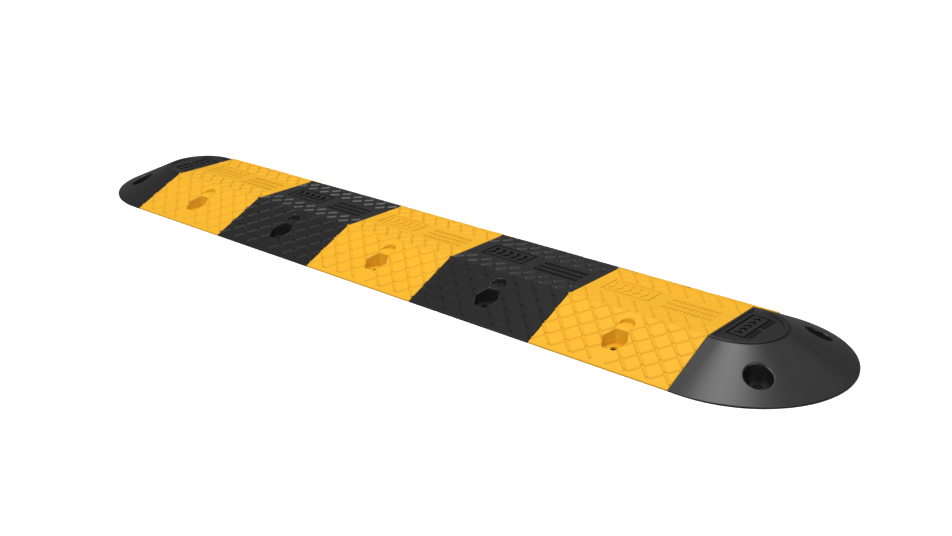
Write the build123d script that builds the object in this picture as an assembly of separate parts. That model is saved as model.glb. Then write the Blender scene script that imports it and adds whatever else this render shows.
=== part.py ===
from build123d import *
import os

# Rubber speed bump: a row of moulded modules between two rounded end caps.
# Frame: +X along the row, +Z up, origin on the road surface under the middle of the row.

# Driving dimensions, in millimetres.
MODULE_COLOURS = ["yellow", "black", "yellow", "black", "yellow"]
MODULE_PITCH = 250.0
SEAM_GAP = 0.6
WIDTH = 350.0
HEIGHT = 50.0
CREST_WIDTH = 140.0
LIP_HEIGHT = 2.5
SHOULDER_RADIUS = 6.0
LIP_RADIUS = 1.0
END_CHAMFER = 0.7

# End cap: a short straight stretch, then half a turn of the same ramp.
CAP_STRAIGHT = 18.0
PANEL_RADIUS = 62.0
PANEL_DEPTH = 2.0
PANEL_SEAM_RIM = 5.0

# Bolt pockets: a six-sided one on each ramp of a module, a round one on a cap.
BOLT_HOLE_RADIUS = 7.0
POCKET_FLOOR = 10.0
POCKET_CORNER_RADIUS = 22.0
POCKET_OFFSET = 123.5
CAP_POCKET_RADIUS = 21.0
CAP_POCKET_RUN = 80.0
CAP_POCKET_OFFSET = 95.0
CAP_POCKET_FLOOR = 8.0

# Shallow round seat uphill of each module pocket.
SEAT_RADIUS = 13.5
SEAT_OFFSET = 94.0
SEAT_FLOOR = 37.2

# Steel washers moulded into the rubber under each pocket floor.
WASHER_RADIUS = 18.0
WASHER_THICKNESS = 4.0
WASHER_LOW = 2.5

# Steel dowels that keep neighbours in line, two across each seam.
PIN_RADIUS = 6.0
PIN_LENGTH = 80.0
PIN_OFFSET = 45.0
PIN_HEIGHT = 25.0
SOCKET_PLAY = 0.2

# Weight-saving recesses in the underside.
RECESS_LENGTH = 44.0
RECESS_WIDTH = 34.0
RECESS_DEPTH = 8.0
RECESS_CORNER = 4.0
RECESS_PITCH_X = 58.0
RECESS_PITCH_Y = 44.0
CAP_RECESS_SEAM_ROW = 45.0
CAP_RECESS_NOSE_ROW = 103.0
CAP_RECESS_NOSE_OFFSET = 22.0

HALF_WIDTH = WIDTH / 2
HALF_CREST = CREST_WIDTH / 2
BODY_LENGTH = MODULE_PITCH - SEAM_GAP
ROW_HALF = MODULE_PITCH * len(MODULE_COLOURS) / 2
ALL_THROUGH = HEIGHT * 3


def column(radius, low, x=0.0, y=0.0):
    """A round cutter from the height low to well above the top."""
    start = Pos(x, y, low)
    return start * Cylinder(radius, ALL_THROUGH, align=(Align.CENTER, Align.CENTER, Align.MIN))


def rounded(face):
    """The ramp's outline with its shoulders and the top of its lip rounded."""
    shoulders = face.vertices().filter_by(lambda v: v.Z > HEIGHT - 1 and abs(v.Y) > 1)
    face = fillet(shoulders, SHOULDER_RADIUS)
    lips = face.vertices().filter_by(lambda v: 1 < v.Z < LIP_HEIGHT + 1 and abs(v.Y) > HALF_WIDTH - 1)
    return fillet(lips, LIP_RADIUS)


def ramp_section():
    """The cross-section of the row, in the YZ plane."""
    outline = Polyline(
        (0, -HALF_WIDTH, 0),
        (0, HALF_WIDTH, 0),
        (0, HALF_WIDTH, LIP_HEIGHT),
        (0, HALF_CREST, HEIGHT),
        (0, -HALF_CREST, HEIGHT),
        (0, -HALF_WIDTH, LIP_HEIGHT),
        close=True,
    )
    return rounded(make_face(outline))


def half_section():
    """One side of the cross-section, which the end cap turns about the vertical."""
    outline = Polyline(
        (0, 0, 0),
        (0, HALF_WIDTH, 0),
        (0, HALF_WIDTH, LIP_HEIGHT),
        (0, HALF_CREST, HEIGHT),
        (0, 0, HEIGHT),
        close=True,
    )
    return rounded(make_face(outline))


def straight_run(length, x_low):
    """A straight stretch of the ramp from x_low."""
    return Pos(x_low, 0, 0) * extrude(ramp_section(), length, dir=(1, 0, 0))


def soften_ends(body, *x_ends):
    """A small chamfer round the end faces that meet a neighbour."""
    for x in x_ends:
        face = body.faces().filter_by(Axis.X).sort_by(lambda f: abs(f.center().X - x))[0]
        upper = face.edges().filter_by(lambda e: e.center().Z > 0.1)
        body = chamfer(upper, END_CHAMFER)
    return body


def recesses(spots):
    """Blind pockets open downwards, one at each spot."""
    one = extrude(RectangleRounded(RECESS_LENGTH, RECESS_WIDTH, RECESS_CORNER), RECESS_DEPTH)
    return [Pos(x, y, 0) * one for x, y in spots]


def washer(x, y):
    """One moulded-in washer."""
    disc = Cylinder(WASHER_RADIUS, WASHER_THICKNESS, align=(Align.CENTER, Align.CENTER, Align.MIN))
    bore = Cylinder(BOLT_HOLE_RADIUS, WASHER_THICKNESS * 3)
    return Pos(x, y, WASHER_LOW) * (disc - bore)


def pins(x, radius, length):
    """Two bars along the row, centred on x: the dowels, or the cutters for their sockets."""
    bar = Rot(0, 90, 0) * Cylinder(radius, length)
    return [Pos(x, side * PIN_OFFSET, PIN_HEIGHT) * bar for side in (-1, 1)]


def sockets(x):
    """Cutters for the dowel sockets in the faces that meet at x."""
    return pins(x, PIN_RADIUS + SOCKET_PLAY, PIN_LENGTH + 2)


def module_bolt_spots(x):
    return [(x, side * POCKET_OFFSET) for side in (-1, 1)]


def module_body(x):
    """One middle module, centred on x."""
    half = BODY_LENGTH / 2
    body = straight_run(BODY_LENGTH, x - half)
    body = soften_ends(body, x - half, x + half)
    mouth = RegularPolygon(POCKET_CORNER_RADIUS, 6)
    for bx, by in module_bolt_spots(x):
        side = 1 if by > 0 else -1
        body -= Pos(bx, by, POCKET_FLOOR) * extrude(mouth, ALL_THROUGH)
        body -= column(SEAT_RADIUS, SEAT_FLOOR, bx, side * SEAT_OFFSET)
        body -= column(BOLT_HOLE_RADIUS, -1, bx, by)
        body -= washer(bx, by)
    columns = [x + RECESS_PITCH_X * (i - 1.5) for i in range(4)]
    rows = [RECESS_PITCH_Y * (j - 1.5) for j in range(4)]
    for cutter in recesses([(cx, cy) for cx in columns for cy in rows]):
        body -= cutter
    for cutter in sockets(x - MODULE_PITCH / 2) + sockets(x + MODULE_PITCH / 2):
        body -= cutter
    return body


def cap_bolt_spots():
    return [(CAP_STRAIGHT + CAP_POCKET_RUN, side * CAP_POCKET_OFFSET) for side in (-1, 1)]


def cap_panel():
    """The shallow panel sunk in the cap's crest."""
    depth = PANEL_DEPTH * 2
    disc = Pos(CAP_STRAIGHT, 0, HEIGHT) * Cylinder(PANEL_RADIUS, depth)
    strip_length = CAP_STRAIGHT - PANEL_SEAM_RIM
    strip = Pos(CAP_STRAIGHT - strip_length / 2, 0, HEIGHT) * Box(strip_length, 2 * PANEL_RADIUS, depth)
    keep = Pos(PANEL_SEAM_RIM, 0, HEIGHT) * Box(
        HALF_WIDTH, WIDTH, depth, align=(Align.MIN, Align.CENTER, Align.CENTER)
    )
    return (disc + strip) & keep


def cap_body():
    """An end cap in its own frame: its seam lies in the plane x = 0, its nose points along +X."""
    nose = Pos(CAP_STRAIGHT, 0, 0) * revolve(half_section(), Axis.Z, 360)
    front = Pos(CAP_STRAIGHT, 0, 0) * Box(
        WIDTH, WIDTH * 2, ALL_THROUGH, align=(Align.MIN, Align.CENTER, Align.CENTER)
    )
    seam = SEAM_GAP / 2
    body = (nose & front) + straight_run(CAP_STRAIGHT - seam, seam)
    body = soften_ends(body, seam)
    body -= cap_panel()
    for bx, by in cap_bolt_spots():
        body -= column(CAP_POCKET_RADIUS, CAP_POCKET_FLOOR, bx, by)
        body -= column(BOLT_HOLE_RADIUS, -1, bx, by)
        body -= washer(bx, by)
    spots = [(CAP_RECESS_SEAM_ROW, RECESS_PITCH_Y * (j - 1.5)) for j in range(4)]
    spots += [(CAP_RECESS_NOSE_ROW, side * CAP_RECESS_NOSE_OFFSET) for side in (-1, 1)]
    for cutter in recesses(spots):
        body -= cutter
    for cutter in sockets(0):
        body -= cutter
    return body


def save(name, solids):
    """Write one node, a single solid or a group of separate ones."""
    shape = solids[0] if len(solids) == 1 else Compound(children=solids)
    shape.label = name
    export_step(shape, f"parts/{name}.step")


os.makedirs("parts", exist_ok=True)

centres = [(i + 0.5) * MODULE_PITCH - ROW_HALF for i in range(len(MODULE_COLOURS))]
for number, (x, colour) in enumerate(zip(centres, MODULE_COLOURS), start=1):
    save(f"module_{number}_{colour}", [module_body(x)])
    save(f"washers_module_{number}", [washer(bx, by) for bx, by in module_bolt_spots(x)])

turns = {"right": Rot(0, 0, 0), "left": Rot(0, 0, 180)}
for side, turn in turns.items():
    place = turn * Pos(ROW_HALF, 0, 0)
    save(f"end_cap_{side}", [place * cap_body()])
    save(f"washers_cap_{side}", [place * washer(bx, by) for bx, by in cap_bolt_spots()])

for seam in range(len(MODULE_COLOURS) + 1):
    save(f"joining_pins_{seam + 1}", pins(seam * MODULE_PITCH - ROW_HALF, PIN_RADIUS, PIN_LENGTH))
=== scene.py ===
import math

import bmesh
import bpy
from mathutils import Matrix, Vector


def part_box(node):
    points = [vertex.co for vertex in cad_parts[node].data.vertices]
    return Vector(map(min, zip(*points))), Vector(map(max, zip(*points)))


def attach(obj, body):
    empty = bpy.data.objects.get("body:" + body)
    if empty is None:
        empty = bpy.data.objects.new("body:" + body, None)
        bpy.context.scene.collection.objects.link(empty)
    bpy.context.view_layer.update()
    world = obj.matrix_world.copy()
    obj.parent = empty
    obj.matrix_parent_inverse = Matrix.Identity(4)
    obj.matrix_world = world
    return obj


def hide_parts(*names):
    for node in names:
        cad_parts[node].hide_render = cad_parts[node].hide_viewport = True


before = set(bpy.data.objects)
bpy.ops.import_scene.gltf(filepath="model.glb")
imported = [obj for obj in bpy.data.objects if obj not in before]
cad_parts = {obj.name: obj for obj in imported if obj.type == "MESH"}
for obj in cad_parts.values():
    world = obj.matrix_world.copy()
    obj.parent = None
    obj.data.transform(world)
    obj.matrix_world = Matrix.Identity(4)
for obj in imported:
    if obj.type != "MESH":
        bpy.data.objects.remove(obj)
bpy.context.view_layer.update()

# A road speed bump: a row of moulded rubber modules with a half-round cap at each end.

MM = 0.001

# Sizes in millimetres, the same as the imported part's.
MODULE_PITCH = 250.0
SEAM_GAP = 0.6
HALF_WIDTH = 175.0
HALF_CREST = 70.0
HEIGHT = 50.0
LIP_HEIGHT = 2.5
SHOULDER_RADIUS = 6.0
LIP_RADIUS = 1.0
END_CHAMFER = 0.7
CAP_STRAIGHT = 18.0
SLOPE = math.atan2(HEIGHT - LIP_HEIGHT, HALF_WIDTH - HALF_CREST)

POCKET_FLOOR = 10.0
POCKET_CORNER_RADIUS = 22.0
POCKET_OFFSET = 123.5
BOLT_HOLE_RADIUS = 7.0
SEAT_RADIUS = 13.5
SEAT_OFFSET = 94.0
SEAT_FLOOR = 37.2
CAP_POCKET_RADIUS = 21.0
CAP_POCKET_RUN = 80.0
CAP_POCKET_OFFSET = 95.0
CAP_POCKET_FLOOR = 8.0
PANEL_RADIUS = 62.0
PANEL_DEPTH = 2.0
PANEL_SEAM_RIM = 5.0

WASHER_RADIUS = 18.0
WASHER_THICKNESS = 4.0
WASHER_LOW = 2.5
PIN_OFFSET = 45.0
PIN_HEIGHT = 25.0
SOCKET_RADIUS = 6.2
SOCKET_DEPTH = 41.0
RECESS_SIZE = (44.0, 34.0)
RECESS_DEPTH = 8.0
RECESS_PITCH = (58.0, 44.0)
CAP_RECESS_ROWS = ((45.0, 4), (103.0, 2))  # distance from the seam, how many abreast

# Sizes that only the visible skin has.
POCKET_CORNER_ROUNDING = 5.0
MODULE_MOUTH_ROUNDING = 0.9
CAP_MOUTH_ROUNDING = 2.4
RIM_RADIUS = 68.4
RIM_TOP = 50.7
RIM_ROUNDING = 0.9
RIM_GROOVE = ((0.15, 48.4), (0.9, 47.9), (2.0, 48.1))  # distance out from the rim, height
GROOVE_END = 3.0
GROOVE_LIP = 0.25
PANEL_WALL = ((-0.9, 0.0), (-0.5, 0.25), (-0.1, 1.6), (0.3, 2.0), (1.2, 3.0))  # distance out, height above its floor

# Tread: low bars on the diagonals of a grid of cells, leaning left and right by turns.
FLANK_CELL = (19.0, 18.5)  # along the row, across it
CREST_CELL = (15.4, 18.1)
FLANK_ROWS = 6
FLANK_COLUMNS = 6
CREST_ROWS = 2
CREST_COLUMNS = 16
FLANK_FIRST_ROW = 6.5
FLANK_FIRST_COLUMN = 8.8
CREST_FIRST_ROW = 39.3
FLANK_BAR = (22.6, 6.2)  # length, width
CREST_BAR = (19.2, 5.2)
BAR_HEIGHT = 1.9
BAR_SIDE_RUN = 2.3
BAR_END_RUN = 0.8
BAR_CORNER = 1.4
BAR_FOOT = 0.9
POCKET_CLEARANCE = 21.0  # no bar stands nearer than this to a pocket's middle
SEAT_CLEARANCE = 12.5

# Pressed-in marks, and where their middles are on a module and on the right-hand cap.
MARK_LINE = 3.4
TICK_WIDTH = 3.9
TICK_PITCH = 6.3
TICK_ROW_PITCH = 15.5
BLACK_MARK_DEPTH = 2.8
YELLOW_MARK_DEPTH = 1.1
MODULE_ARROWS_AT = (-55, 4)
MODULE_TICKS_AT = (60, -3.5)
CAP_ARROWS_AT = (28, 2)
CAP_TICKS_AT = (49, 2)

# Heights that a cutter reaches when it goes right through a body.
BELOW = -1.0
ABOVE = HEIGHT + 30.0

SHARP_EDGE = math.radians(28)  # edges that turn more than this are kept crisp
SKIN_LEEWAY = math.radians(4)  # faces this close to the true skin are shaded as part of it

HALF_TURN = Matrix.Rotation(math.pi, 4, "Z")
QUARTER_TURN = Matrix.Rotation(math.pi / 2, 4, "Z")


# ---------------------------------------------------------------- helpers

def hex_colour(code):
    """An sRGB hex colour as the linear values that the shaders and lights use."""
    channels = [int(code[i:i + 2], 16) / 255 for i in (1, 3, 5)]
    return [c / 12.92 if c <= 0.04045 else ((c + 0.055) / 1.055) ** 2.4 for c in channels] + [1.0]


def node(tree, kind, inputs=None, **settings):
    """Add one node, with its settings, and its inputs as values or as the sockets that feed them."""
    made = tree.nodes.new(kind)
    for name, value in settings.items():
        setattr(made, name, value)
    for key, value in (inputs or {}).items():
        if isinstance(value, bpy.types.NodeSocket):
            tree.links.new(value, made.inputs[key])
        else:
            made.inputs[key].default_value = value
    return made


def show(name, data):
    """A new object in the scene, at the origin."""
    thing = bpy.data.objects.new(name, data)
    bpy.context.scene.collection.objects.link(thing)
    return thing


def closed_mesh(name, rings, close=True):
    """A closed skin through rings of points in millimetres, each ring with as many points as the next."""
    work = bmesh.new()
    rows = [[work.verts.new(Vector(p) * MM) for p in ring] for ring in rings]
    count = len(rows[0])
    for low, high in zip(rows, rows[1:]):
        for i in range(count):
            j = (i + 1) % count
            work.faces.new((low[i], low[j], high[j], high[i]))
    if close:
        work.faces.new(list(reversed(rows[0])))
        work.faces.new(rows[-1])
    else:
        bmesh.ops.remove_doubles(work, verts=work.verts, dist=1e-7)
    return outward_mesh(name, work)


def outward_mesh(name, work):
    """The mesh that was being worked on, with all its faces pointing outwards."""
    bmesh.ops.recalc_face_normals(work, faces=work.faces)
    mesh = bpy.data.meshes.new(name)
    work.to_mesh(mesh)
    work.free()
    return mesh


def joined(name, meshes):
    """One mesh out of several that don't touch."""
    work = bmesh.new()
    for mesh in meshes:
        work.from_mesh(mesh)
    result = bpy.data.meshes.new(name)
    work.to_mesh(result)
    work.free()
    return result


def moved(mesh, matrix):
    """A copy of the mesh in another place."""
    copy = mesh.copy()
    copy.transform(matrix)
    return copy


def shift(x, y=0.0):
    """A move along the ground, in millimetres."""
    return Matrix.Translation(Vector((x, y, 0.0)) * MM)


def baked(piece):
    """The piece's mesh with its modifiers applied; the piece itself is removed."""
    view = bpy.context.evaluated_depsgraph_get()
    view.update()
    result = bpy.data.meshes.new_from_object(piece.evaluated_get(view), depsgraph=view)
    bpy.data.objects.remove(piece)
    return result


def cut_or_join(mesh, other, operation):
    """The mesh after one solid is cut from it or joined to it."""
    piece, tool = show("work_piece", mesh), show("work_tool", other)
    step = piece.modifiers.new("step", "BOOLEAN")
    step.operation = operation
    step.solver = "MANIFOLD"
    step.object = tool
    result = baked(piece)
    bpy.data.objects.remove(tool)
    return result


def carved(mesh, cutters):
    """The mesh with each cutter cut from it in turn."""
    for cutter in cutters:
        mesh = cut_or_join(mesh, cutter, "DIFFERENCE")
    return mesh


# ---------------------------------------------------------------- outlines

def arc(centre, radius, start, end, steps):
    """Points of an arc in a plane, angles in radians."""
    for i in range(steps + 1):
        a = start + (end - start) * i / steps
        yield (centre[0] + radius * math.cos(a), centre[1] + radius * math.sin(a))


def circle(centre, radius, count=48):
    """Points all the way round a circle."""
    return list(arc(centre, radius, 0, 2 * math.pi * (1 - 1 / count), count - 1))


def rectangle(half_x, half_y, x=0.0, y=0.0):
    """The corners of a rectangle round a point."""
    return [(x - half_x, y - half_y), (x + half_x, y - half_y), (x + half_x, y + half_y), (x - half_x, y + half_y)]


def round_outline(radius, count=48):
    """A pocket's round outline, as a function of how far it is grown."""
    def outline(grow):
        return circle((0, 0), radius + grow, count)
    return outline


def six_sided_outline(corner_radius, rounding):
    """The same for a hexagon with corners on the X axis, its corners rounded."""
    centre = (corner_radius * math.cos(math.pi / 6) - rounding) / math.cos(math.pi / 6)

    def outline(grow):
        points = []
        for k in range(6):
            turn = math.pi / 3 * k
            middle = (centre * math.cos(turn), centre * math.sin(turn))
            points += arc(middle, rounding + grow, turn - math.pi / 6, turn + math.pi / 6, 5)
        return points
    return outline


# ---------------------------------------------------------------- the ramp's shape

def half_profile(flank_steps=1):
    """(distance from the centreline, height) from the crest's middle to the foot."""
    tangent = SHOULDER_RADIUS * math.tan(SLOPE / 2)
    shoulder = (HALF_CREST - tangent, HEIGHT - SHOULDER_RADIUS)
    points = [(0.0, HEIGHT)]
    points += arc(shoulder, SHOULDER_RADIUS, math.pi / 2, math.pi / 2 - SLOPE, 6)
    top = points[-1]
    lip_turn = math.pi / 2 - SLOPE
    lip_tangent = LIP_RADIUS * math.tan(lip_turn / 2)
    lip = list(arc((HALF_WIDTH - LIP_RADIUS, LIP_HEIGHT - lip_tangent), LIP_RADIUS, lip_turn, 0.0, 4))
    for i in range(1, flank_steps):
        t = i / flank_steps
        points.append((top[0] + (lip[0][0] - top[0]) * t, top[1] + (lip[0][1] - top[1]) * t))
    return points + lip + [(HALF_WIDTH, 0.0)]


def skin_height(across):
    """Height of the plain ramp at a distance from its centreline."""
    return HEIGHT - max(across - HALF_CREST, 0.0) * math.tan(SLOPE)


def cap_profile():
    """The same ramp, with a low raised rim round the cap's crest and a fine groove at the rim's foot.
    Its points lie close together, because the panel and pockets are cut through them."""
    edge = (RIM_RADIUS - RIM_ROUNDING, RIM_TOP - RIM_ROUNDING)
    steps = 9
    points = [(RIM_RADIUS * 0.95 * i / steps, RIM_TOP) for i in range(steps)]
    points += arc(edge, RIM_ROUNDING, math.pi / 2, 0.0, 4)
    points += [(RIM_RADIUS + out, height) for out, height in RIM_GROOVE]
    start = RIM_RADIUS + GROOVE_END
    points += [(start, skin_height(start) - GROOVE_LIP), (start + 1.2, skin_height(start + 1.2))]
    return points + [point for point in half_profile(flank_steps=14) if point[0] > start + 4]


def inset(points, amount):
    """The profile drawn in by a little, for the chamfer round an end face; its foot stays on the ground."""
    scale = (HALF_WIDTH - amount) / HALF_WIDTH
    return [(across * scale, height - amount if height > amount else height) for across, height in points]


def ramp_normal(across, height):
    """Which way the plain ramp's skin faces, as (outwards, up), at a distance from the centreline."""
    tangent = SHOULDER_RADIUS * math.tan(SLOPE / 2)
    turn = math.atan2(across - HALF_CREST + tangent, height - HEIGHT + SHOULDER_RADIUS)
    turn = min(max(turn, 0.0), SLOPE) if height > HEIGHT / 2 else SLOPE
    return math.sin(turn), math.cos(turn)


# ---------------------------------------------------------------- cutters

def prism(outline, low, high):
    """A solid with an upright wall round an outline, between two heights."""
    return closed_mesh("prism", [[(x, y, z) for x, y in outline] for z in (low, high)])


def hollow_prism(inner, outer, low, high):
    """A ring-shaped solid between two outlines that have the same number of points."""
    loops = ((inner, low), (outer, low), (outer, high), (inner, high), (inner, low))
    return closed_mesh("hollow_prism", [[(x, y, z) for x, y in points] for points, z in loops], close=False)


def pocket_cutter(outline, x, y, floor, skin, rounding):
    """A cutter for an upright pocket from floor up, whose mouth is rounded where it meets the skin."""
    def ring(grow, height):
        return [(x + px, y + py, height(x + px, y + py)) for px, py in outline(grow)]

    rings = [ring(0.0, lambda px, py: floor)]
    steps = 6
    for i in range(steps + 1):
        turn = math.pi / 2 * i / steps
        grow = rounding * (1 - math.cos(turn))
        # The last ring stands just clear of the skin, so that the two never lie in one plane.
        drop = rounding * (1 - math.sin(turn)) if i < steps else -0.02
        rings.append(ring(grow, lambda px, py: skin(px, py) - drop))
    rings.append(ring(rounding + 0.5, lambda px, py: skin(px, py) + 1.0))
    rings.append(ring(rounding + 0.5, lambda px, py: ABOVE))
    return closed_mesh("pocket_cutter", rings)


def near_and_far(cutter):
    """One cutter on each side of the centreline; the function given makes it for side -1 or 1."""
    return joined("near_and_far", [cutter(side) for side in (-1, 1)])


def bolt_holes(x, offset):
    """Both bolt holes of a body, right through it."""
    return near_and_far(lambda side: prism(circle((x, side * offset), BOLT_HOLE_RADIUS), BELOW, ABOVE))


def washer_seats(x, offset):
    """The ring-shaped spaces that the two moulded-in washers fill, open towards the bolt holes."""
    return near_and_far(lambda side: hollow_prism(
        circle((x, side * offset), BOLT_HOLE_RADIUS - 1), circle((x, side * offset), WASHER_RADIUS),
        WASHER_LOW, WASHER_LOW + WASHER_THICKNESS,
    ))


def underside_recesses(spots):
    """Shallow rectangular recesses in the underside, round the spots given."""
    half_x, half_y = RECESS_SIZE[0] / 2, RECESS_SIZE[1] / 2
    return joined("recesses", [prism(rectangle(half_x, half_y, x, y), BELOW, RECESS_DEPTH) for x, y in spots])


def in_step(count, pitch):
    """Evenly spaced places about zero."""
    return [pitch * (i - (count - 1) / 2) for i in range(count)]


def sockets(x_from, direction):
    """Blind holes for the two dowels of a seam, from an end face inwards."""
    ends = (x_from - direction, x_from + direction * SOCKET_DEPTH)

    def socket(side):
        points = circle((side * PIN_OFFSET, PIN_HEIGHT), SOCKET_RADIUS, 32)
        return closed_mesh("socket", [[(x, y, z) for y, z in points] for x in ends])
    return near_and_far(socket)


# ---------------------------------------------------------------- rows of bars and ticks

def bar_mesh(length, width):
    """A low bar along X with sloping sides and cut-off corners, its foot sunk in the skin."""
    rings = []
    for tip_in, side_in, level in ((0.0, 0.0, -BAR_FOOT), (0.0, 0.0, 0.0), (BAR_END_RUN, BAR_SIDE_RUN, BAR_HEIGHT)):
        tip, side = length / 2 - tip_in, width / 2 - side_in
        cut = min(BAR_CORNER, side * 0.5)
        rings.append([
            (tip, cut - side, level), (tip, side - cut, level), (tip - cut, side, level), (cut - tip, side, level),
            (-tip, side - cut, level), (-tip, cut - side, level), (cut - tip, -side, level), (tip - cut, -side, level),
        ])
    return closed_mesh("bar", rings)


def rows_of_bars_tree():
    """Geometry nodes: one shape set on the points of a grid, leaning one way and the other by turns."""
    tree = bpy.data.node_groups.new("rows_of_bars", "GeometryNodeTree")
    tree.interface.new_socket("Geometry", in_out="INPUT", socket_type="NodeSocketGeometry")
    wanted = [
        ("Bar", "Object"), ("Columns", "Int"), ("Rows", "Int"), ("Column Pitch", "Float"),
        ("Row Pitch", "Float"), ("Lean", "Float"), ("Other Lean", "Float"), ("Middle", "Vector"),
        ("Tilt", "Vector"), ("Place", "Vector"), ("Clear Spot", "Vector"), ("Clear Radius", "Float"),
        ("Second Spot", "Vector"), ("Second Radius", "Float"), ("Finish", "Material"),
    ]
    for name, kind in wanted:
        tree.interface.new_socket(name, in_out="INPUT", socket_type="NodeSocket" + kind)
    tree.interface.new_socket("Geometry", in_out="OUTPUT", socket_type="NodeSocketGeometry")
    given = node(tree, "NodeGroupInput").outputs

    def reach(count, pitch):
        """How far the grid reaches from its first column or row to its last."""
        gaps = node(tree, "ShaderNodeMath", {0: given[count], 1: 1.0}, operation="SUBTRACT").outputs[0]
        return node(tree, "ShaderNodeMath", {0: gaps, 1: given[pitch]}, operation="MULTIPLY").outputs[0]

    grid = node(tree, "GeometryNodeMeshGrid", {
        "Size X": reach("Columns", "Column Pitch"), "Size Y": reach("Rows", "Row Pitch"),
        "Vertices X": given["Columns"], "Vertices Y": given["Rows"],
    })
    spot = node(tree, "GeometryNodeInputPosition").outputs[0]
    x, y, _ = node(tree, "ShaderNodeSeparateXYZ", {0: spot}).outputs

    def number(operation, along, count, pitch):
        """Which column or row a point is in, counted from the left or from the top."""
        half = node(tree, "ShaderNodeMath", {0: reach(count, pitch), 1: 0.5}, operation="MULTIPLY").outputs[0]
        from_edge = node(tree, "ShaderNodeMath", {0: half, 1: along}, operation=operation).outputs[0]
        cells = node(tree, "ShaderNodeMath", {0: from_edge, 1: given[pitch]}, operation="DIVIDE").outputs[0]
        return node(tree, "ShaderNodeMath", {0: cells}, operation="ROUND").outputs[0]

    column = number("ADD", x, "Columns", "Column Pitch")
    row = number("SUBTRACT", y, "Rows", "Row Pitch")
    total = node(tree, "ShaderNodeMath", {0: column, 1: row}, operation="ADD").outputs[0]
    odd = node(tree, "ShaderNodeMath", {0: total, 1: 2.0}, operation="MODULO").outputs[0]
    lean = node(tree, "ShaderNodeMix", {
        "Factor": odd, "A": given["Other Lean"], "B": given["Lean"],
    }, data_type="FLOAT").outputs[0]
    turn = node(tree, "ShaderNodeCombineXYZ", {2: lean}).outputs[0]
    centred = node(tree, "ShaderNodeVectorMath", {0: spot, 1: given["Middle"]}, operation="ADD").outputs[0]

    def clear_of(where, radius):
        """Whether a point is outside a circle that is to stay bare."""
        gap = node(tree, "ShaderNodeVectorMath", {0: centred, 1: given[where]}, operation="DISTANCE")
        return node(tree, "FunctionNodeCompare", {0: gap.outputs["Value"], 1: given[radius]},
                    data_type="FLOAT", operation="GREATER_THAN").outputs[0]

    keep = node(tree, "FunctionNodeBooleanMath", {
        0: clear_of("Clear Spot", "Clear Radius"), 1: clear_of("Second Spot", "Second Radius"),
    }, operation="AND").outputs[0]
    shape = node(tree, "GeometryNodeObjectInfo", {"Object": given["Bar"]}).outputs["Geometry"]
    bars = node(tree, "GeometryNodeInstanceOnPoints", {
        "Points": grid.outputs["Mesh"], "Selection": keep, "Instance": shape, "Rotation": turn,
    }).outputs[0]
    centred_bars = node(tree, "GeometryNodeTransform", {"Geometry": bars, "Translation": given["Middle"]})
    placed = node(tree, "GeometryNodeTransform", {
        "Geometry": centred_bars.outputs[0], "Rotation": given["Tilt"], "Translation": given["Place"],
    })
    real = node(tree, "GeometryNodeRealizeInstances", {"Geometry": placed.outputs[0]}).outputs[0]
    in_finish = node(tree, "GeometryNodeSetMaterial", {"Geometry": real, "Material": given["Finish"]})
    node(tree, "NodeGroupOutput", {0: in_finish.outputs[0]})
    return tree


def rows_of_bars(bar, finish, **values):
    """A plain mesh of bars in rows; values are the tree's inputs, lengths in millimetres."""
    tree = bpy.data.node_groups.get("rows_of_bars") or rows_of_bars_tree()
    shape = show("bar_shape", bar)
    piece = show("bars", bpy.data.meshes.new("bars"))
    rows = piece.modifiers.new("rows", "NODES")
    rows.node_group = tree
    values.update({"Bar": shape, "Finish": finish})
    not_lengths = ("Bar", "Finish", "Columns", "Rows", "Lean", "Other Lean", "Tilt")
    for socket in tree.interface.items_tree:
        value = values.get(socket.name.replace(" ", "_"))
        if value is None or socket.in_out == "OUTPUT":
            continue
        if socket.name in not_lengths:
            rows[socket.identifier] = value
        elif isinstance(value, tuple):
            rows[socket.identifier] = [v * MM for v in value]
        else:
            rows[socket.identifier] = value * MM
    mesh = baked(piece)
    bpy.data.objects.remove(shape)
    return mesh


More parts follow.
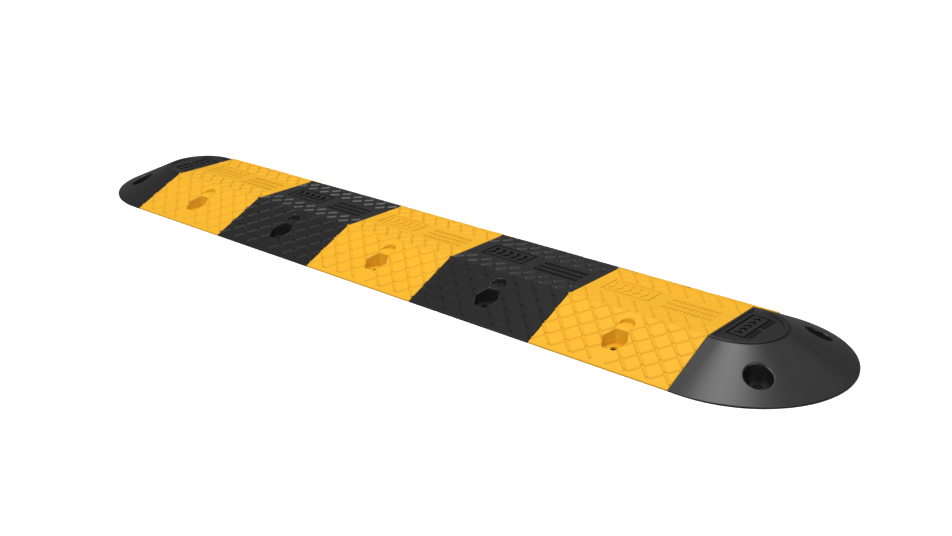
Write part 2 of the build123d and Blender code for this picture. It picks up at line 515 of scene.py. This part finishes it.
def tread(finish):
    """All the bars on the near side of a module: two fields on the flank and one band on the crest."""
    def down_the_flank(offset):
        """A place on the flank's middle line, measured along the slope from the crest's edge."""
        return (0, -(offset - HALF_CREST) / math.cos(SLOPE), 0)

    lean = math.atan2(FLANK_CELL[1], FLANK_CELL[0])
    middle_row = -(FLANK_FIRST_ROW + FLANK_CELL[1] * (FLANK_ROWS - 1) / 2)
    left_middle = FLANK_FIRST_COLUMN - MODULE_PITCH / 2 + FLANK_CELL[0] * (FLANK_COLUMNS - 1) / 2
    fields = [
        rows_of_bars(
            bar_mesh(*FLANK_BAR), finish, Columns=FLANK_COLUMNS, Rows=FLANK_ROWS,
            Column_Pitch=FLANK_CELL[0], Row_Pitch=FLANK_CELL[1], Lean=lean, Other_Lean=-lean,
            Middle=(middle_column, middle_row, 0), Tilt=(SLOPE, 0, 0), Place=(0, -HALF_CREST, HEIGHT),
            Clear_Spot=down_the_flank(POCKET_OFFSET), Clear_Radius=POCKET_CLEARANCE,
            Second_Spot=down_the_flank(SEAT_OFFSET), Second_Radius=SEAT_CLEARANCE,
        ) for middle_column in (left_middle, -left_middle)
    ]
    lean = math.atan2(CREST_CELL[1], CREST_CELL[0])
    fields.append(rows_of_bars(
        bar_mesh(*CREST_BAR), finish, Columns=CREST_COLUMNS, Rows=CREST_ROWS,
        Column_Pitch=CREST_CELL[0], Row_Pitch=CREST_CELL[1], Lean=lean, Other_Lean=-lean,
        Middle=(0, -CREST_FIRST_ROW - CREST_CELL[1] / 2, 0), Tilt=(0, 0, 0), Place=(0, 0, HEIGHT),
        Clear_Radius=0.0, Second_Radius=0.0,
    ))
    return joined("tread", fields)


def tick_rows(finish, columns, rows, length, top, depth):
    """Rows of short pressed-in ticks round the middle, as one cutter."""
    tick = prism(rectangle(length / 2, TICK_WIDTH / 2), -depth, 1.0)
    return rows_of_bars(
        tick, finish, Columns=columns, Rows=rows, Column_Pitch=TICK_PITCH, Row_Pitch=TICK_ROW_PITCH,
        Lean=math.pi / 2, Other_Lean=math.pi / 2, Middle=(0, 0, 0), Tilt=(0, 0, 0), Place=(0, 0, top),
        Clear_Radius=0.0, Second_Radius=0.0,
    )


def arrow_mark(length, width, heads, top, depth):
    """A plain frame with a row of arrowheads in it, pointing along +X, as one cutter."""
    half_x, half_y = length / 2, width / 2
    frame_line = hollow_prism(
        rectangle(half_x - MARK_LINE, half_y - MARK_LINE), rectangle(half_x, half_y), top - depth, top + 1,
    )
    pitch = (length - 4 * MARK_LINE) / heads
    reach = half_y - 3 * MARK_LINE
    thick, sweep = pitch * 0.52, pitch * 0.42
    arrows = []
    for middle in in_step(heads, pitch):
        x = middle - (thick + sweep) / 2
        lower = [(x, -reach), (x + thick, -reach)]
        upper = [(px, -py) for px, py in reversed(lower)]
        outline = lower + [(x + thick + sweep, 0)] + upper + [(x + sweep, 0)]
        arrows.append(prism(outline, top - depth, top + 1))
    return joined("arrow_mark", [frame_line] + arrows)


# ---------------------------------------------------------------- shading

def module_skin(point):
    """Which way a module's plain skin faces at a point."""
    out, up = ramp_normal(abs(point.y) / MM, point.z / MM)
    return Vector((0, math.copysign(out, point.y), up))


def cap_skin(point):
    """The same for the right-hand cap, whose seam is at x = 0."""
    nose = max(point.x - CAP_STRAIGHT * MM, 0.0)
    across = math.hypot(nose, point.y)
    if across < RIM_RADIUS * MM:
        return Vector((0, 0, 1))
    out, up = math.sin(SLOPE), math.cos(SLOPE)
    return Vector((nose / across * out, point.y / across * out, up))


def shade(mesh, skin):
    """Shade the skin by its true shape, the rounded bands smooth, and keep the real edges crisp."""
    mesh.shade_smooth()
    mesh.set_sharp_from_angle(angle=SHARP_EDGE)
    normals = [Vector((0, 0, 0))] * len(mesh.loops)
    for face in mesh.polygons:
        if face.normal.dot(skin(face.center)) > math.cos(SKIN_LEEWAY):
            for corner in face.loop_indices:
                normals[corner] = skin(mesh.vertices[mesh.loops[corner].vertex_index].co)
    mesh.normals_split_custom_set(normals)


# ---------------------------------------------------------------- rubber bodies

def module_block():
    """The plain ramp block of one module, centred on x = 0."""
    def ring(x, points):
        near = [(x, -across, height) for across, height in reversed(points)]
        far = [(x, across, height) for across, height in points[1:]]
        return near + far

    half = (MODULE_PITCH - SEAM_GAP) / 2
    full = half_profile()
    drawn_in = inset(full, END_CHAMFER)
    stations = [(-half, drawn_in), (-half + END_CHAMFER, full), (half - END_CHAMFER, full), (half, drawn_in)]
    return closed_mesh("module_block", [ring(x, points) for x, points in stations])


def module_mesh(finish, mark_depth):
    """One module centred on x = 0: block, tread, pockets, marks and underside."""
    def skin(px, py):
        return skin_height(abs(py))

    half = (MODULE_PITCH - SEAM_GAP) / 2
    near = tread(finish)
    bars = joined("bars", [near, moved(near, HALF_TURN)])
    seat = round_outline(SEAT_RADIUS)
    hexagon = six_sided_outline(POCKET_CORNER_RADIUS, POCKET_CORNER_ROUNDING)
    arrows = arrow_mark(length=90.0, width=46.0, heads=5, top=HEIGHT, depth=mark_depth)
    ticks = tick_rows(finish, columns=14, rows=3, length=9.0, top=HEIGHT, depth=mark_depth)
    mesh = carved(cut_or_join(module_block(), bars, "UNION"), [
        near_and_far(lambda side: pocket_cutter(
            seat, 0, side * SEAT_OFFSET, SEAT_FLOOR, skin, MODULE_MOUTH_ROUNDING)),
        near_and_far(lambda side: pocket_cutter(
            hexagon, 0, side * POCKET_OFFSET, POCKET_FLOOR, skin, MODULE_MOUTH_ROUNDING)),
        bolt_holes(0, POCKET_OFFSET),
        washer_seats(0, POCKET_OFFSET),
        underside_recesses([(x, y) for x in in_step(4, RECESS_PITCH[0]) for y in in_step(4, RECESS_PITCH[1])]),
        sockets(-half, 1),
        sockets(half, -1),
        moved(arrows, shift(*MODULE_ARROWS_AT)),
        moved(ticks, shift(*MODULE_TICKS_AT)),
    ])
    shade(mesh, module_skin)
    return mesh


def cap_block():
    """The plain end cap with its seam at x = 0 and its nose along +X, a fine net of quads."""
    full = cap_profile()
    drawn_in = inset(full, END_CHAMFER)
    seam = SEAM_GAP / 2
    straight = [(seam, drawn_in), (seam + END_CHAMFER, full)]
    straight += [(x, full) for x in (7.0, 13.0)]  # two more stations, so that no quad is long and thin
    # Each station is its place along X, the direction across it as (y, x), and its profile.
    stations = [(x, -1, 0.0, points) for x, points in straight]
    turns = 72
    for i in range(turns + 1):
        angle = math.pi * i / turns
        stations.append((CAP_STRAIGHT, -math.cos(angle), math.sin(angle), full))
    stations += [(x, 1, 0.0, points) for x, points in reversed(straight)]
    work = bmesh.new()
    rows = []
    for x, out_y, out_x, points in stations:
        skin = [(x + out_x * across, out_y * across, height) for across, height in points]
        rows.append([work.verts.new(Vector(p) * MM) for p in skin + [(x, 0, 0)]])
    for low, high in zip(rows, rows[1:]):
        for i in range(len(low) - 1):
            work.faces.new((low[i], low[i + 1], high[i + 1], high[i]))
    bmesh.ops.remove_doubles(work, verts=work.verts, dist=1e-7)
    for face in [f for f in work.faces if f.calc_area() < 1e-12]:
        work.faces.remove(face)
    bmesh.ops.contextual_create(work, geom=[e for e in work.edges if e.is_boundary])
    return outward_mesh("cap_block", work)


def panel_cutter(floor):
    """The shallow half-round panel sunk in the cap's crest, with drafted sides."""
    def ring(grow, z):
        radius, back = PANEL_RADIUS + grow, PANEL_SEAM_RIM - grow
        nose = list(arc((CAP_STRAIGHT, 0), radius, -math.pi / 2, math.pi / 2, 60))
        return [(x, y, z) for x, y in [(back, -radius)] + nose + [(back, radius)]]

    return closed_mesh("panel", [ring(grow, floor + rise) for grow, rise in PANEL_WALL])


def cap_mesh(finish):
    """The right-hand end cap with its seam at x = 0."""
    def skin(px, py):
        return skin_height(math.hypot(max(px - CAP_STRAIGHT, 0.0), py))

    run = CAP_STRAIGHT + CAP_POCKET_RUN
    pocket = round_outline(CAP_POCKET_RADIUS, 64)
    floor = RIM_TOP - PANEL_DEPTH
    arrows = arrow_mark(length=86.0, width=32.0, heads=5, top=floor, depth=BLACK_MARK_DEPTH)
    ticks = tick_rows(finish, columns=13, rows=1, length=8.0, top=floor, depth=BLACK_MARK_DEPTH)
    mesh = carved(cap_block(), [
        panel_cutter(floor),
        near_and_far(lambda side: pocket_cutter(
            pocket, run, side * CAP_POCKET_OFFSET, CAP_POCKET_FLOOR, skin, CAP_MOUTH_ROUNDING)),
        bolt_holes(run, CAP_POCKET_OFFSET),
        washer_seats(run, CAP_POCKET_OFFSET),
        underside_recesses([(x, y) for x, abreast in CAP_RECESS_ROWS for y in in_step(abreast, RECESS_PITCH[1])]),
        sockets(SEAM_GAP / 2, 1),
        moved(arrows, shift(*CAP_ARROWS_AT) @ QUARTER_TURN),
        moved(ticks, shift(*CAP_TICKS_AT) @ QUARTER_TURN),
    ])
    shade(mesh, cap_skin)
    return mesh


# ---------------------------------------------------------------- materials

def new_material(name):
    """An empty material and its node tree."""
    material = bpy.data.materials.new(name)
    material.use_nodes = True
    material.node_tree.nodes.clear()
    return material, material.node_tree


def moulded_rubber(name, colour, deeper, roughness, specular):
    """Compression-moulded rubber. The eye sees one even colour with faint cloudy mixing, a satin skin
    and the fine grain that the blasted mould leaves, drawn about 1 mm coarse so that it shows."""
    cloud_size, grain_size = 90.0 * MM, 1.1 * MM
    material, tree = new_material(name)
    place = node(tree, "ShaderNodeTexCoord").outputs["Object"]
    clouds = node(tree, "ShaderNodeTexNoise", {
        "Vector": place, "Scale": 1 / cloud_size, "Detail": 3.0, "Roughness": 0.5,
    })
    grain = node(tree, "ShaderNodeTexNoise", {
        "Vector": place, "Scale": 1 / grain_size, "Detail": 2.0, "Roughness": 0.6,
    })
    mix = node(tree, "ShaderNodeMix", {
        "Factor": clouds.outputs[0], "A": hex_colour(deeper), "B": hex_colour(colour),
    }, data_type="RGBA")
    sheen = node(tree, "ShaderNodeMapRange", {
        "Value": grain.outputs[0], "From Min": 0.3, "From Max": 0.7,
        "To Min": roughness - 0.04, "To Max": roughness + 0.04,
    })
    bump = node(tree, "ShaderNodeBump", {"Height": grain.outputs[0], "Strength": 0.12, "Distance": 0.2 * MM})
    shader = node(tree, "ShaderNodeBsdfPrincipled", {
        "Base Color": mix.outputs["Result"], "Roughness": sheen.outputs[0], "Normal": bump.outputs[0],
        "Specular IOR Level": specular,
    })
    node(tree, "ShaderNodeOutputMaterial", {"Surface": shader.outputs[0]})
    return material


def streaked_steel(name, colour, roughness, grain):
    """Steel with the fine streaks that rolling or drawing leaves. The eye sees a metal whose gloss
    varies a little along them."""
    material, tree = new_material(name)
    place = node(tree, "ShaderNodeTexCoord").outputs["Object"]
    stretched = node(tree, "ShaderNodeMapping", {"Vector": place, "Scale": (0.15, 1.0, 1.0)})
    streaks = node(tree, "ShaderNodeTexNoise", {"Vector": stretched.outputs[0], "Scale": 1 / (grain * MM)})
    gloss = node(tree, "ShaderNodeMapRange", {
        "Value": streaks.outputs[0], "To Min": roughness - 0.08, "To Max": roughness + 0.1,
    })
    shader = node(tree, "ShaderNodeBsdfPrincipled", {
        "Base Color": hex_colour(colour), "Metallic": 1.0, "Roughness": gloss.outputs[0],
    })
    node(tree, "ShaderNodeOutputMaterial", {"Surface": shader.outputs[0]})
    return material


def floor_finish():
    """A matt pale studio floor, lit a little from below like a light table."""
    material, tree = new_material("pale_studio_floor")
    shader = node(tree, "ShaderNodeBsdfPrincipled", {
        "Base Color": hex_colour("#F8F8F8"), "Roughness": 0.9,
        "Emission Color": hex_colour("#FFFFFF"), "Emission Strength": 0.22,
    })
    node(tree, "ShaderNodeOutputMaterial", {"Surface": shader.outputs[0]})
    return material


# The yellow rubber has a matt skin and the black rubber a satin one.
yellow = moulded_rubber("moulded_yellow_rubber", "#D8A11E", "#D49D1A", roughness=0.57, specular=0.25)
black = moulded_rubber("moulded_black_rubber", "#171718", "#151516", roughness=0.34, specular=0.45)
# The washers' plating is dull, and its yellow zinc colour is darkened as painted shade for the deep bolt holes where
# it shows; the dowels are bright drawn bar.
zinc_darkened_as_painted_shade = streaked_steel("yellow_passivated_zinc", "#5A5038", roughness=0.5, grain=2.0)
bright = streaked_steel("bright_drawn_steel", "#A9A9AB", roughness=0.3, grain=0.8)


# ---------------------------------------------------------------- the pieces

def coated(name, mesh, finish):
    """A visible piece in one finish."""
    mesh.materials.clear()
    mesh.materials.append(finish)
    return show(name, mesh)


modules = {
    "yellow": (module_mesh(yellow, YELLOW_MARK_DEPTH), yellow, "yellow_rubber"),
    "black": (module_mesh(black, BLACK_MARK_DEPTH), black, "black_rubber"),
}
for name in sorted(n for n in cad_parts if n.startswith("module_")):
    low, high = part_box(name)
    mesh, finish, slot = modules[name.rsplit("_", 1)[1]]
    middle = (low.x + high.x) / 2 / MM
    piece = coated(name + "_skin", moved(mesh, shift(middle)), finish)
    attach(piece, "root")
    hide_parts(name)

cap = cap_mesh(black)
seam_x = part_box("end_cap_right")[0].x / MM - SEAM_GAP / 2
for side, turn in (("right", Matrix.Identity(4)), ("left", HALF_TURN)):
    piece = coated(f"end_cap_{side}_skin", moved(cap, turn @ shift(seam_x)), black)
    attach(piece, "root")
    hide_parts(f"end_cap_{side}")

for name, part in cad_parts.items():
    if name.startswith("washers_"):
        part.data.materials[0] = zinc_darkened_as_painted_shade
    elif name.startswith("joining_pins_"):
        part.data.materials[0] = bright


# ---------------------------------------------------------------- floor, light and camera

def stage_floor():
    """A wide floor just under the row, which the row doesn't mirror."""
    half, level = 30000.0, -0.3
    work = bmesh.new()
    work.faces.new([work.verts.new(Vector((x, y, level)) * MM) for x, y in rectangle(half, half)])
    mesh = bpy.data.meshes.new("floor")
    work.to_mesh(mesh)
    work.free()
    floor = coated("floor", mesh, floor_finish())
    floor.visible_glossy = False
    floor.visible_diffuse = False
    return floor


def softbox(name, place, aim, size, power):
    """A rectangular studio light, sizes in metres."""
    light = bpy.data.lights.new(name, "AREA")
    light.shape = "RECTANGLE"
    light.size, light.size_y = size
    light.energy = power
    lamp = show(name, light)
    lamp.location = place
    lamp.rotation_euler = (Vector(aim) - Vector(place)).to_track_quat("-Z", "Y").to_euler()


def distant_light(name, towards, energy, spread):
    """A soft far-off light in the direction given, spread in degrees."""
    light = bpy.data.lights.new(name, "SUN")
    light.energy = energy
    light.angle = math.radians(spread)
    show(name, light).rotation_euler = Vector(towards).to_track_quat("Z", "Y").to_euler()


stage_floor()
softbox("overhead", place=(0.12, 0.48, 2.6), aim=(0.12, 0.3, 0.0), size=(0.9, 1.7), power=36.0)
softbox("behind_right", place=(1.3, 1.9, 2.4), aim=(0.8, 0.0, 0.0), size=(2.0, 2.0), power=5.5)
distant_light("from_left", towards=(-0.3, -0.62, 0.725), energy=2.2, spread=26)
distant_light("from_right", towards=(0.75, -0.35, 0.55), energy=1.25, spread=35)

world = bpy.data.worlds.new("studio")
world.use_nodes = True
background = world.node_tree.nodes["Background"]
background.inputs["Color"].default_value = hex_colour("#FFFFFF")
background.inputs["Strength"].default_value = 0.17
bpy.context.scene.world = world

camera_data = bpy.data.cameras.new("camera")
camera_data.lens = 45.6
camera_data.sensor_width = 36.0
camera = show("camera", camera_data)
camera.location = (1.400, -1.513, 0.787)
camera.rotation_euler = Vector((-0.6000, 0.7112, -0.3663)).to_track_quat("-Z", "Y").to_euler()
bpy.context.scene.camera = camera
bpy.context.scene.view_settings.view_transform = "Standard"
